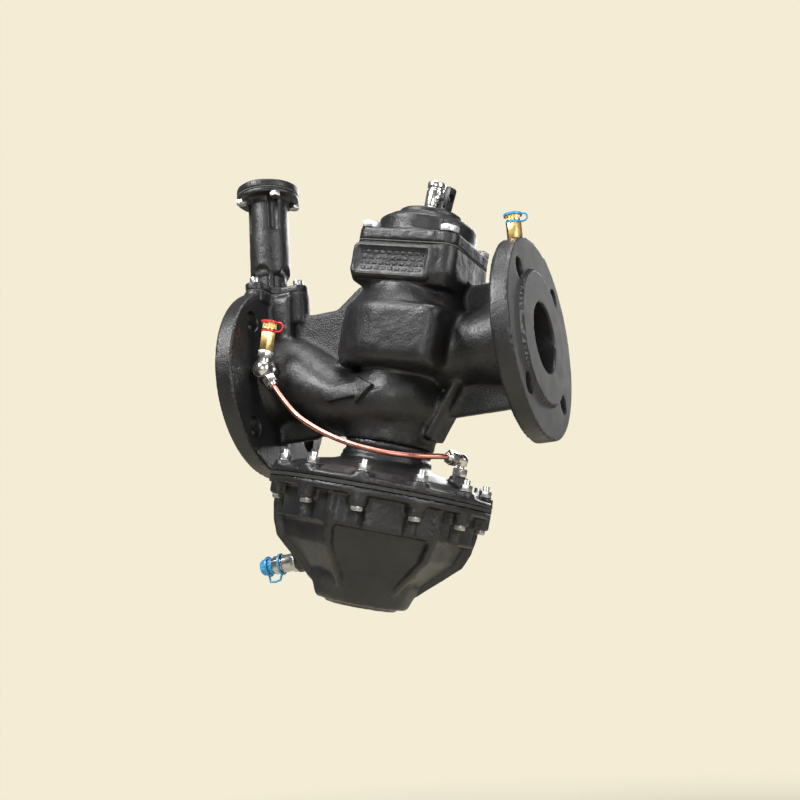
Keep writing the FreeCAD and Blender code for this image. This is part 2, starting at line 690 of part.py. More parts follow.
def column_foot_outline(low, high):
    foot = fuse([disc(19, low, high, COLUMN_X, 0)]
                + [disc(9.5, low, high, x, y) for x, y in column_bolt_places()]
                + [block(COLUMN_X - 9.5, COLUMN_X + 9.5, -COLUMN_BOLT_R, COLUMN_BOLT_R, low, high),
                   block(COLUMN_X, COLUMN_X + COLUMN_BOLT_R, -9.5, 9.5, low, high)])
    return foot


def column_foot_gasket():
    low, top = PAD_TOP, COLUMN_LOW
    sheet = column_foot_outline(low, top).common(block(1, 80, -60, 60, low, top))
    holes = [disc(3.4, low - 1, top + 1, x, y) for x, y in column_bolt_places()]
    ports = [disc(9.5, low - 1, top + 1, COLUMN_X, 0),
             disc(PILOT_PORT_R, low - 1, top + 1, PILOT_PORT_X, 0)]
    return cut(sheet, holes + ports)


def column_neck_rib(low, degrees):
    """Plate through the column axis that ribs both sides of its neck."""
    plate = block(-2.5, 2.5, -18.2, 18.2, low, 114)
    plate.rotate(ORIGIN, Z, degrees)
    return placed(plate, COLUMN_X, 0)


def column_housing():
    """Cast spring column: three-lobed foot, fluted neck, plain tube and flanged top."""
    low = COLUMN_LOW
    foot = column_foot_outline(low, low + COLUMN_FOOT_T)
    neck = disc(15.5, low, 114, COLUMN_X, 0)
    neck_ribs = [column_neck_rib(low, 30 + 60 * k) for k in range(3)]
    tube = turned([(0, 110), (18, 110), (COLUMN_R, 113), (COLUMN_R, 192), (0, 192)])
    head = turned([(0, 188), (COLUMN_R, 188), (COLUMN_R + 1.5, 195), (COLUMN_R + 1.5, COLUMN_TOP - 4.5),
                   (0, COLUMN_TOP - 4.5)])
    rim = disc(COLUMN_COVER_R, COLUMN_TOP - 5, COLUMN_TOP)
    for part in (tube, head, rim):
        part.translate(Vector(COLUMN_X, 0, 0))
    solid = fuse([foot, neck, tube, head, rim] + neck_ribs)
    bores = [disc(14.5, 116, COLUMN_TOP + 1, COLUMN_X, 0), disc(4 + RUN, low, 120, COLUMN_X, 0),
             disc(8, low - 1, low + 6, COLUMN_X, 0), disc(PILOT_PORT_R, low - 1, low + 3, PILOT_PORT_X, 0)]
    bores += [disc(3 + RUN, COLUMN_TOP - 6, COLUMN_TOP + 1, COLUMN_X + p.x, p.y)
              for p in cover_bolt_points()]
    bores += [disc(3 + RUN, low - 1, 112, x, y) for x, y in column_bolt_places()]
    flutes = [flute(p.x, p.y) for p in cover_bolt_points()]
    arches = [arch(x, y) for x, y in column_bolt_places()]
    return cut(solid, bores + flutes + arches)


def cover_bolt_points():
    return [polar(COLUMN_COVER_PCD_R, 45 + 90 * k) for k in range(4)]


def flute(x, y):
    """Round-ended groove in the column below one cover nut."""
    centre = polar(21.5, math.degrees(math.atan2(y, x)))
    groove = disc(5.2, 160, COLUMN_TOP - 5, COLUMN_X + centre.x, centre.y)
    tip = Part.makeSphere(5.19, Vector(COLUMN_X + centre.x, centre.y, 160))
    return groove.fuse(tip)


def arch(x, y):
    """Round-topped notch in the column above one foot bolt."""
    outward = Vector(x - COLUMN_X, y, 0)
    outward.normalize()
    start = Vector(COLUMN_X, 0, 110) + outward * 16.2
    return fuse([rod(9, start, start + outward * 14),
                 disc(7.5, COLUMN_LOW + COLUMN_FOOT_T, 112, x, y)])


def column_foot_bolts():
    low = COLUMN_LOW + COLUMN_FOOT_T
    screw = fuse([disc(5, low, low + 6), disc(3, low - 20, low)]).cut(prism(6, 5, low + 3, low + 7))
    return group([placed(screw, x, y) for x, y in column_bolt_places()])


def placed(shape, x, y):
    moved = shape.copy()
    moved.translate(Vector(x, y, 0))
    return moved


def column_cover_gasket():
    low = COLUMN_TOP
    sheet = ring(COLUMN_COVER_R, 15, low, low + 0.8, COLUMN_X, 0)
    return cut(sheet, [disc(3.4, low - 1, low + 2, COLUMN_X + p.x, p.y) for p in cover_bolt_points()])


def column_cover():
    low = COLUMN_TOP + 0.8
    plate = disc(COLUMN_COVER_R, low, low + COLUMN_COVER_T, COLUMN_X, 0)
    plate = plate.makeFillet(1.6, [e for e in plate.Edges if e.Closed and e.CenterOfMass.z > low + 1])
    spigot = disc(14.4, low - 3, low + 1, COLUMN_X, 0)
    holes = [disc(3 + RUN, low - 4, low + 5.5, COLUMN_X + p.x, p.y) for p in cover_bolt_points()]
    bore = [disc(6 + RUN, low - 4, low + 9, COLUMN_X, 0), disc(9 + RUN, low + 4, low + 9, COLUMN_X, 0)]
    return cut(fuse([plate, spigot]), holes + bore)


def column_cover_bolts():
    """Screws entered from below, heads under the column rim."""
    seat = COLUMN_TOP - 5
    bolt = hex_bolt(3.0, 10, 4.5, 0, 10.5)
    bolt.rotate(ORIGIN, X, 180)
    bolt.translate(Vector(COLUMN_X, 0, seat))
    return group([placed(bolt, p.x, p.y) for p in cover_bolt_points()])


def adjusting_screw():
    """Captive setpoint screw with a hexagon socket flush with the cover."""
    low = COLUMN_TOP + 0.8
    flangelet = disc(9, low + 4, low + COLUMN_COVER_T - 0.6)
    shaft = disc(6, 168, low + 4.5)
    socket = prism(6, 8, low + 3, low + 10)
    return placed(fuse([flangelet, shaft]).cut(socket), COLUMN_X, 0)


def upper_spring_plate():
    """Threaded nut that the adjusting screw drives down on the spring."""
    nut = turned([(6 + RUN, 186), (13.8, 186), (13.8, 191), (9, 191), (9, 195), (6 + RUN, 195)])
    return placed(nut, COLUMN_X, 0)


def lower_spring_plate():
    plate = turned([(4, 122), (13.8, 122), (13.8, 125), (8, 125), (7.5, 128), (4, 128)])
    return placed(plate, COLUMN_X, 0)


def pilot_spindle():
    low = COLUMN_LOW + 2.4
    shaft = turned([(0, low), (3, low), (4, low + 1.3), (4, 131), (3.2, 132), (0, 132)])
    return placed(shaft, COLUMN_X, 0)


def pilot_seat():
    """Seat bush pressed in the column foot below the pilot spindle."""
    low = COLUMN_LOW + 0.1
    seat = turned([(2, low), (8, low), (8, low + 1.7), (2, low + 1.7)])
    return placed(seat, COLUMN_X, 0)


def setpoint_spring():
    return placed(spring(11.0, 1.8, 125.1, 185.9, 8), COLUMN_X, 0)


# ---------------------------------------------------------------- small-bore fittings
TEE_SEAT = Vector(34.0, -46.0, 0.0)
TEE_AXIS = Vector(0, -1, 0)
TEE_CENTRE = Vector(34.0, -58.0, 0.0)
TEE_UP = Vector(0.2, 0, 0.98)
TUBE_FIRST_TURN = Vector(52, -61, -28)
TUBE_START_AXIS = (TUBE_FIRST_TURN - TEE_CENTRE).normalize()


def inlet_test_tee():
    """Nickel-plated tee: screwed nipple, round union, test branch up and tube branch down."""
    nipple = aimed(fuse([disc(5, -10, 6), prism(6, 17, 2, 7), disc(8.5, 6.5, 17)]), TEE_SEAT, TEE_AXIS)
    up = aimed(fuse([disc(6.5, 0, 12), prism(6, 14, 11, 17)]), TEE_CENTRE, TEE_UP)
    down = aimed(disc(5.2, 0, 11), TEE_CENTRE, TUBE_START_AXIS)
    solid = fuse([nipple, up, down, Part.makeSphere(9, TEE_CENTRE)])
    bores = [aimed(disc(2.5, -11, 12), TEE_SEAT, TEE_AXIS), aimed(disc(3, 0, 20), TEE_CENTRE, TEE_UP),
             aimed(disc(TUBE_R, 0, 12), TEE_CENTRE, TUBE_START_AXIS)]
    return cut(solid, bores)


def test_point_body(hex_h, nose_h):
    """Brass pressure test point standing on z = 0: long hexagon and threaded nose."""
    nose = turned([(0, hex_h - 0.5), (5.2, hex_h - 0.5), (5.2, hex_h + nose_h), (4.5, hex_h + nose_h + 1),
                   (0, hex_h + nose_h + 1)])
    return fuse([disc(3, -8, 0), prism(6, 12.5, 0, hex_h), nose])


def test_point_cap(hex_h, nose_h):
    """Brass cap over the test point's nose."""
    low, top = hex_h + 2.6, hex_h + nose_h + 2.6
    cap = turned([(0, low), (6.6, low), (6.6, top - 1), (5.6, top), (0, top)])
    knurl = around(disc(0.7, low + 1, top - 2), 6.75, 20)
    inside = turned([(0, low - 1), (5.25, low - 1), (5.25, hex_h + nose_h), (4.55, hex_h + nose_h + 1.05),
                     (0, hex_h + nose_h + 1.05)])
    return cut(cap, [inside] + knurl)


def strap(low_z, high_z, low_r, high_r, reach, turn):
    """Plastic strap: a ring under the cap, a ring on the cap and a bow joining them."""
    rings = [ring(low_r + 1.7, low_r, low_z, low_z + 2), ring(high_r + 1.7, high_r, high_z, high_z + 2)]
    low, high = low_z + 1, high_z + 1
    rise = (high - low) / 2
    corners = [Vector(low_r + 0.9, 0, low), Vector(reach, 0, low), Vector(reach + rise, 0, low + rise),
               Vector(reach, 0, high), Vector(high_r + 0.9, 0, high)]
    path = Part.Wire([Part.LineSegment(corners[0], corners[1]).toShape(),
                      Part.Arc(corners[1], corners[2], corners[3]).toShape(),
                      Part.LineSegment(corners[3], corners[4]).toShape()])
    section = Part.Wire(Part.Circle(corners[0], X, 0.85).toShape())
    loop = fuse(rings + [path.makePipeShell([section], True, True)])
    loop.rotate(ORIGIN, Z, turn)
    return loop


TEST_PLUG_SEAT = TEE_CENTRE + TEE_UP * 17
INLET_HEX, INLET_NOSE = 18.0, 9.0
OUTLET_HEX, OUTLET_NOSE = 14.0, 7.0


def inlet_test_plug():
    return aimed(test_point_body(INLET_HEX, INLET_NOSE), TEST_PLUG_SEAT, TEE_UP)


def inlet_test_cap():
    return aimed(test_point_cap(INLET_HEX, INLET_NOSE), TEST_PLUG_SEAT, TEE_UP)


def inlet_cap_strap():
    band = strap(INLET_HEX + 0.3, INLET_HEX + 9.0, 5.3, 6.7, 10.0, 0)
    return aimed(band, TEST_PLUG_SEAT, TEE_UP)


TUBE_POINTS = [
    TEE_CENTRE + TUBE_START_AXIS * 11,
    TUBE_FIRST_TURN, Vector(70, -63, -51), Vector(98, -64, -71), Vector(128, -64, -86),
    Vector(157, -61, -96), Vector(182, -50, -100.5), Vector(197, -31, -99.5),
]
TUBE_LAST_TURN = TUBE_POINTS[-1]


def tube_run():
    """Straight runs joined by tangent arcs, from the tee to the casing elbow."""
    end = ELBOW_MOUTH
    points = TUBE_POINTS + [end]
    edges = []
    start = points[0]
    for k in range(1, len(points) - 1):
        before, here, after = points[k - 1], points[k], points[k + 1]
        into, out = (here - before), (after - here)
        turn = into.getAngle(out)
        radius = 0.45 * min(into.Length, out.Length) / math.tan(turn / 2)
        back = radius * math.tan(turn / 2)
        into.normalize()
        out.normalize()
        leave, join = here - into * back, here + out * back
        bisector = (out - into)
        bisector.normalize()
        middle = here + bisector * (radius / math.cos(turn / 2) - radius)
        edges += [Part.LineSegment(start, leave).toShape(), Part.Arc(leave, middle, join).toShape()]
        start = join
    edges.append(Part.LineSegment(start, end).toShape())
    return Part.Wire(edges)


def impulse_tube():
    path = tube_run()
    section = Part.Wire(Part.Circle(TUBE_POINTS[0], TUBE_POINTS[1] - TUBE_POINTS[0], TUBE_R).toShape())
    return path.makePipeShell([section], True, False)


def tube_nut():
    """Compression nut drawn along z around the tube."""
    body = fuse([prism(6, 12, 0, 8), turned([(0, 7.5), (5.2, 7.5), (4, 11), (0, 11)])])
    return body.cut(disc(TUBE_R + 0.05, -1, 12))


def tube_nut_inlet():
    direction = TUBE_POINTS[1] - TUBE_POINTS[0]
    return aimed(tube_nut().cut(disc(5.25, -1, 0)), TUBE_POINTS[0] + Vector(direction).normalize() * 0.3,
                 direction)


ELBOW_XY = (78.0, -10.0)
ELBOW_SEAT_D = -99.0
ELBOW_CENTRE_LOCAL = Vector(ELBOW_XY[0], ELBOW_XY[1], ELBOW_SEAT_D + 15)
ELBOW_CENTRE = on_spindle(ELBOW_CENTRE_LOCAL)
ELBOW_ARM = (TUBE_LAST_TURN - ELBOW_CENTRE).normalize()
ELBOW_MOUTH = ELBOW_CENTRE + ELBOW_ARM * 8


def casing_elbow():
    """Swivel elbow: screwed stem and hexagon on the casing, ball body and tube socket."""
    x, y = ELBOW_XY
    low = ELBOW_SEAT_D
    upright = placed(fuse([disc(3, low - 8, low), prism(6, 12, low, low + 7),
                           disc(3.2, low + 6, low + 12), disc(5, low + 10, low + 15)]), x, y)
    upright = inclined(fuse([upright, Part.makeSphere(5.6, ELBOW_CENTRE_LOCAL)]))
    arm = aimed(disc(4.6, 0, 8), ELBOW_CENTRE, ELBOW_ARM)
    bores = [inclined(disc(1.6, low - 9, low + 15, x, y)), aimed(disc(1.6, 0, 9), ELBOW_CENTRE, ELBOW_ARM)]
    return cut(fuse([upright, arm]), bores)


def tube_nut_casing():
    return aimed(tube_nut(), ELBOW_MOUTH + ELBOW_ARM * 0.3, ELBOW_ARM)


OUTLET_PLUG_SEAT = Vector(278.0, -26.0, 87.5)
OUTLET_PLUG_AXIS = Vector(0, -0.05, 0.9987)


def outlet_test_plug():
    return aimed(test_point_body(OUTLET_HEX, OUTLET_NOSE), OUTLET_PLUG_SEAT, OUTLET_PLUG_AXIS)


def outlet_test_cap():
    return aimed(test_point_cap(OUTLET_HEX, OUTLET_NOSE), OUTLET_PLUG_SEAT, OUTLET_PLUG_AXIS)


def outlet_cap_strap():
    band = strap(OUTLET_HEX + 0.3, OUTLET_HEX + 7.5, 5.3, 6.7, 9.5, 215)
    return aimed(band, OUTLET_PLUG_SEAT, OUTLET_PLUG_AXIS)


# drain fitting on the bowl, in the spindle frame
DRAIN_SEAT = Vector(-69.0, -8.0, -200.0)
DRAIN_AXIS = Vector(-0.93, -0.1, -0.35)


def drain_elbow():
    """Screwed nipple and dark round body of the drain."""
    barrel = turned([(0, 3.5), (8.2, 3.5), (8.2, 13), (7, 14), (0, 14)])
    body = fuse([disc(5, -14, 0), prism(6, 17, 0, 4), barrel])
    return inclined(aimed(body.cut(disc(2.6, -15, 15)), DRAIN_SEAT, DRAIN_AXIS))


def drain_cock():
    """Plated hexagon body with a turned nose."""
    body = fuse([prism(6, 15, 14, 23), disc(5.6, 22.5, 32)])
    return inclined(aimed(body.cut(disc(2.6, 13, 33)), DRAIN_SEAT, DRAIN_AXIS))


def drain_cap():
    cap = turned([(0, 24), (7.6, 24), (7.6, 34), (6, 36), (0, 36)])
    grips = around(disc(1.0, 25, 35), 8.0, 12)
    return inclined(aimed(cut(cap, [disc(5.65, 23, 32.1)] + grips), DRAIN_SEAT, DRAIN_AXIS))


def drain_cap_strap():
    low_ring = ring(10.2, 8.8, 15, 17)
    high_ring = ring(9.6, 8.3, 28, 30)
    bow = fuse([rod(1, Vector(9.2, 0, 16), Vector(15, 0, 18)), rod(1, Vector(15, 0, 18), Vector(16, 0, 23)),
                rod(1, Vector(16, 0, 23), Vector(15, 0, 28)), rod(1, Vector(15, 0, 28), Vector(9, 0, 29)),
                Part.makeSphere(1.01, Vector(15, 0, 18)), Part.makeSphere(1.01, Vector(16, 0, 23)),
                Part.makeSphere(1.01, Vector(15, 0, 28))])
    bow.rotate(ORIGIN, Z, 200)
    return inclined(aimed(fuse([low_ring, high_ring, bow]), DRAIN_SEAT, DRAIN_AXIS))


BLEED_XY = (-66.0, 44.0)
BLEED_SEAT_D = -98.0


def bleed_plug():
    plug = fuse([disc(3, BLEED_SEAT_D - 8, BLEED_SEAT_D), prism(6, 11, BLEED_SEAT_D, BLEED_SEAT_D + 8),
                 disc(4, BLEED_SEAT_D + 8, BLEED_SEAT_D + 12)])
    return inclined(placed(plug, *BLEED_XY))


# ---------------------------------------------------------------- write the sub-parts
def subparts():
    along = {
        "seat_ring": seat_ring, "main_plug": main_plug, "plug_seal": plug_seal, "plug_nut": plug_nut,
        "stem": stem, "stem_nut": stem_nut, "upper_diaphragm_plate": upper_diaphragm_plate,
        "diaphragm": diaphragm, "lower_diaphragm_plate": lower_diaphragm_plate,
        "lower_guide_bush": lower_guide_bush, "stem_seal": stem_seal, "neck_seal": neck_seal,
        "upper_guide_bush": upper_guide_bush, "bonnet_gasket": bonnet_gasket,
        "bonnet_cover": bonnet_cover, "bonnet_bolts": bonnet_bolts,
        "vent_valve_body": vent_valve_body, "vent_valve_seats": vent_valve_seats,
        "vent_valve_ball": vent_valve_ball, "vent_valve_spindle": vent_valve_spindle,
        "vent_lever": vent_lever, "vent_lever_nut": vent_lever_nut,
        "upper_diaphragm_cover": upper_diaphragm_cover, "lower_casing": lower_casing,
        "casing_bolts": casing_bolts, "casing_nuts": casing_nuts, "casing_washers": casing_washers,
        "main_spring": main_spring, "spring_seat": spring_seat,
    }
    upright = {
        "body_casting": body_casting, "column_housing": column_housing,
        "column_foot_gasket": column_foot_gasket, "column_foot_bolts": column_foot_bolts,
        "column_cover": column_cover, "column_cover_gasket": column_cover_gasket,
        "column_cover_bolts": column_cover_bolts, "adjusting_screw": adjusting_screw,
        "upper_spring_plate": upper_spring_plate, "lower_spring_plate": lower_spring_plate,
        "pilot_spindle": pilot_spindle, "pilot_seat": pilot_seat, "setpoint_spring": setpoint_spring,
        "inlet_test_tee": inlet_test_tee, "inlet_test_plug": inlet_test_plug,
        "inlet_test_cap": inlet_test_cap, "inlet_cap_strap": inlet_cap_strap,
        "impulse_tube": impulse_tube, "tube_nut_inlet": tube_nut_inlet,
        "tube_nut_casing": tube_nut_casing, "casing_elbow": casing_elbow,
        "outlet_test_plug": outlet_test_plug, "outlet_test_cap": outlet_test_cap,
        "outlet_cap_strap": outlet_cap_strap, "drain_elbow": drain_elbow, "drain_cock": drain_cock,
        "drain_cap": drain_cap, "drain_cap_strap": drain_cap_strap, "bleed_plug": bleed_plug,
    }
    for name, make in along.items():
        yield name, inclined(make())
    for name, make in upright.items():
        yield name, make()


def main():
    os.makedirs("parts", exist_ok=True)
    for name, shape in subparts():
        solids = shape.Solids
        print(f"{name}: {len(solids)} solid(s), valid {shape.isValid()}, {shape.Volume / 1000:.1f} cm3")
        shape.exportStep(f"parts/{name}.step")


main()
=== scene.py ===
import json
import math

import bpy
import numpy as np
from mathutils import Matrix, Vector, noise
from mathutils.bvhtree import BVHTree

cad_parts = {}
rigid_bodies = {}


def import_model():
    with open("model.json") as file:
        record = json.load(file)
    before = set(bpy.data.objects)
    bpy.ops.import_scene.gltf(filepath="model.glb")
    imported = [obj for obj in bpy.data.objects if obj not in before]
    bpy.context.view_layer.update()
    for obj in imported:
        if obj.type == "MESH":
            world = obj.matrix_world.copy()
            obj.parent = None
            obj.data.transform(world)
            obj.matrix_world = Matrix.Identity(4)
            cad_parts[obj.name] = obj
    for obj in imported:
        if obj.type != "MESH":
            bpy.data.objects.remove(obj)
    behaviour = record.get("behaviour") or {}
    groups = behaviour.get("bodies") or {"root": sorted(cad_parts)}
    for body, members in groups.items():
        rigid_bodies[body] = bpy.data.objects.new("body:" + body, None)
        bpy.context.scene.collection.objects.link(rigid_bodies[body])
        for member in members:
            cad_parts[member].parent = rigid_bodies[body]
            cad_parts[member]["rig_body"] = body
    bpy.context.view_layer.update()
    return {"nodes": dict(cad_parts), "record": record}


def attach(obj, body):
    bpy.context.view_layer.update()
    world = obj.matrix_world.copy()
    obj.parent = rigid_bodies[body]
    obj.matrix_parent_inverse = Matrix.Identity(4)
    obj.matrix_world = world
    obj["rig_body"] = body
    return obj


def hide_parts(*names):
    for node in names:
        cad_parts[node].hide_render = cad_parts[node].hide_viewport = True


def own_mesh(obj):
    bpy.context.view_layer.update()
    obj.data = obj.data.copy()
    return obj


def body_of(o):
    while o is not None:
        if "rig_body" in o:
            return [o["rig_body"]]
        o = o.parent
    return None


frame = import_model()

MM = 0.001
NODES = frame["nodes"]
SLOT_OF = {row["node"]: row["material_slot"] for row in frame["record"]["subparts"]}

# The spindle leans in the XZ plane: U runs along it, V across it.
TILT = math.radians(15)
U = np.array([math.sin(TILT), 0, math.cos(TILT)])
V = np.array([math.cos(TILT), 0, -math.sin(TILT)])
SPINDLE_FOOT = np.array([152.7, 0, 0]) * MM
LENGTH = 290 * MM
FLANGE_R, RAISED_R, BORE_R = 92.5 * MM, 61 * MM, 32.5 * MM
FLANGE_T, RAISED_T = 20 * MM, 3 * MM
INLET_HOLE_R, OUTLET_HOLE_R, HOLE_PITCH_R = 9.4 * MM, 9.6 * MM, 72.5 * MM
BONNET_JOINT, BONNET_JOINT_HALF = 103 * MM, 56 * MM      # height along the spindle, half width across it
COLUMN_JOINT, COLUMN_PAD_END = 87 * MM, 64 * MM          # height, and where the column's pad ends along X
OUTSIDE = 1.0                                            # further out than any point of the valve


# ------------------------------------------------------------ node materials
def ramp(tree, source, low, high):
    """A value between low and high that follows a 0 to 1 source."""
    node = tree.nodes.new("ShaderNodeMapRange")
    node.inputs["To Min"].default_value = low
    node.inputs["To Max"].default_value = high
    node.inputs["From Min"].default_value = 0.3
    node.inputs["From Max"].default_value = 0.7
    tree.links.new(source, node.inputs["Value"])
    return node.outputs["Result"]


def mottle(tree, size_mm, detail, rough=0.5):
    """Soft noise whose features are about size_mm across."""
    where = tree.nodes.new("ShaderNodeTexCoord")
    cloud = tree.nodes.new("ShaderNodeTexNoise")
    cloud.inputs["Scale"].default_value = 1 / (size_mm * MM)
    cloud.inputs["Detail"].default_value = detail
    cloud.inputs["Roughness"].default_value = rough
    tree.links.new(where.outputs["Object"], cloud.inputs["Vector"])
    return cloud.outputs["Fac"]


def bumped(tree, height, depth_mm, below=None):
    """A normal that follows a 0 to 1 height, on top of the normal below."""
    bump = tree.nodes.new("ShaderNodeBump")
    bump.inputs["Distance"].default_value = depth_mm * MM
    bump.inputs["Strength"].default_value = 1.0
    tree.links.new(height, bump.inputs["Height"])
    if below:
        tree.links.new(below, bump.inputs["Normal"])
    return bump.outputs["Normal"]


def finish(name, dark, light, patch_mm, rough, metal=0.0, bumps=()):
    """A procedural finish: two blended colours, a roughness range and layers of bump.
    bumps holds (feature size in mm, depth in mm) pairs."""
    made = bpy.data.materials.new(name)
    made.use_nodes = True
    tree = made.node_tree
    shader = tree.nodes["Principled BSDF"]
    shader.inputs["Metallic"].default_value = metal
    mix = tree.nodes.new("ShaderNodeMix")
    mix.data_type = "RGBA"
    mix.inputs[6].default_value = (*dark, 1)
    mix.inputs[7].default_value = (*light, 1)
    tree.links.new(ramp(tree, mottle(tree, patch_mm, 4), 0, 1), mix.inputs[0])
    tree.links.new(mix.outputs[2], shader.inputs["Base Color"])
    tree.links.new(ramp(tree, mottle(tree, patch_mm * 0.4, 3), *rough), shader.inputs["Roughness"])
    normal = None
    for size, depth in bumps:
        normal = bumped(tree, mottle(tree, size, 2), depth, normal)
    if normal:
        tree.links.new(normal, shader.inputs["Normal"])
    made.diffuse_color = (*light, 1)
    return made


def cast_paint():
    """Black paint over sand-cast iron. The attribute "grain" says how coarse the skin is."""
    made = finish("black_cast_paint", (0.008, 0.008, 0.0085), (0.015, 0.015, 0.016), 30, (0.30, 0.44),
                  bumps=[(9, 0.4), (2.4, 0.16)])
    tree = made.node_tree
    shader = tree.nodes["Principled BSDF"]
    grain = tree.nodes.new("ShaderNodeAttribute")
    grain.attribute_name = "grain"
    pits = mottle(tree, 1.5, 3, rough=0.6)
    raised = tree.nodes.new("ShaderNodeMath")
    raised.operation = "MULTIPLY"
    tree.links.new(pits, raised.inputs[0])
    tree.links.new(grain.outputs["Fac"], raised.inputs[1])
    below = shader.inputs["Normal"].links[0].from_socket
    tree.links.new(bumped(tree, raised.outputs[0], 0.8, below), shader.inputs["Normal"])
    return made


FINISH = {
    "black_casting": cast_paint(),
    "machined_face": finish("machined_face", (0.030, 0.030, 0.031), (0.042, 0.042, 0.043), 40, (0.46, 0.56),
                            bumps=[(1.1, 0.05)]),
    "zinc_fastener": finish("zinc_plate", (0.38, 0.38, 0.375), (0.56, 0.56, 0.55), 4, (0.26, 0.42), 1.0,
                            bumps=[(1.2, 0.02)]),
    "stainless": finish("turned_stainless", (0.46, 0.46, 0.46), (0.60, 0.60, 0.59), 12, (0.2, 0.32), 1.0,
                        bumps=[(1.5, 0.008)]),
    "brass": finish("turned_brass", (0.60, 0.40, 0.15), (0.74, 0.52, 0.22), 12, (0.24, 0.36), 1.0,
                    bumps=[(1.6, 0.012)]),
    "nickel": finish("nickel_plate", (0.52, 0.51, 0.49), (0.68, 0.67, 0.64), 10, (0.18, 0.3), 1.0,
                     bumps=[(1.4, 0.01)]),
    "copper": finish("copper_tube", (0.56, 0.20, 0.155), (0.78, 0.36, 0.29), 14, (0.24, 0.34), 1.0,
                     bumps=[(1.5, 0.006)]),
    "black_plastic": finish("black_plastic", (0.009, 0.009, 0.01), (0.018, 0.018, 0.019), 6, (0.35, 0.5),
                            bumps=[(0.7, 0.03)]),
    "red_plastic": finish("red_plastic", (0.55, 0.012, 0.016), (0.75, 0.03, 0.03), 5, (0.28, 0.42),
                          bumps=[(0.9, 0.02)]),
    "blue_plastic": finish("blue_plastic", (0.02, 0.20, 0.45), (0.05, 0.36, 0.62), 5, (0.28, 0.42),
                           bumps=[(0.9, 0.02)]),
    "seal_rubber": finish("seal_rubber", (0.012, 0.012, 0.012), (0.03, 0.03, 0.03), 5, (0.55, 0.75),
                          bumps=[(0.8, 0.05)]),
    "gasket": finish("fibre_gasket", (0.06, 0.065, 0.055), (0.14, 0.145, 0.13), 2, (0.7, 0.9),
                     bumps=[(0.6, 0.06)]),
    "spring_steel": finish("spring_steel", (0.10, 0.10, 0.11), (0.22, 0.22, 0.23), 4, (0.3, 0.5), 1.0,
                           bumps=[(0.7, 0.02)]),
    "bush_bronze": finish("bush_bronze", (0.36, 0.22, 0.09), (0.55, 0.37, 0.16), 4, (0.25, 0.45), 1.0,
                          bumps=[(0.8, 0.03)]),
    "ptfe": finish("ptfe", (0.72, 0.71, 0.68), (0.85, 0.84, 0.81), 4, (0.4, 0.6), bumps=[(0.8, 0.03)]),
}


# ------------------------------------------------------------ mesh helpers
def coordinates(mesh):
    flat = np.empty(len(mesh.vertices) * 3)
    mesh.vertices.foreach_get("co", flat)
    return flat.reshape(-1, 3)


def normals(mesh):
    flat = np.empty(len(mesh.vertices) * 3)
    mesh.vertex_normals.foreach_get("vector", flat)
    return flat.reshape(-1, 3)


def put(mesh, co):
    mesh.vertices.foreach_set("co", co.ravel())
    mesh.update()


def shade(mesh, angle):
    """Smooth shading, with edges that bend by more than angle degrees kept sharp."""
    mesh.polygons.foreach_set("use_smooth", [True] * len(mesh.polygons))
    mesh.set_sharp_from_angle(angle=math.radians(angle))


def settled(obj):
    """Applies the object's modifiers to a fresh mesh."""
    graph = bpy.context.evaluated_depsgraph_get()
    mesh = bpy.data.meshes.new_from_object(obj.evaluated_get(graph))
    obj.modifiers.clear()
    obj.data = mesh
    return mesh


def copy_of(node, name):
    """A new object with the node's mesh and finish."""
    obj = bpy.data.objects.new(name, NODES[node].data.copy())
    bpy.context.scene.collection.objects.link(obj)
    obj.data.materials.clear()
    obj.data.materials.append(FINISH[SLOT_OF[node]])
    return obj


def stand_for(obj, node):
    """Lets the object ride on the node's body and take its place."""
    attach(obj, body_of(NODES[node])[0])
    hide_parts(node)
    return obj


def relaxed(mesh, co, weight, rounds, step):
    """Moves each point by step * weight towards the mean of its neighbours."""
    ends = np.empty(len(mesh.edges) * 2, int)
    mesh.edges.foreach_get("vertices", ends)
    a, b = ends.reshape(-1, 2).T
    count = np.bincount(a, minlength=len(co)) + np.bincount(b, minlength=len(co))
    for _ in range(rounds):
        mean = np.empty_like(co)
        for k in range(3):
            mean[:, k] = (np.bincount(a, co[b, k], len(co)) + np.bincount(b, co[a, k], len(co))) / count
        co = co + (mean - co) * (weight * step)[:, None]
    return co


NOISE_GAIN = 1.6                     # brings Perlin noise to about -1 to 1


def lumps(co, size_mm, seed):
    """Smooth noise between about -1 and 1 at each point, with features of size_mm."""
    shift = Vector((seed * 7.3, seed * 3.1, seed * 5.7))
    grid = co / (size_mm * MM)
    return np.array([noise.noise(Vector(p) + shift) for p in grid]) * NOISE_GAIN


CAST_STEP = 0.6                      # share of the way to its neighbours' mean that a point moves
FLOW_ROUNDS, FLOW_STEP = 22, 0.7


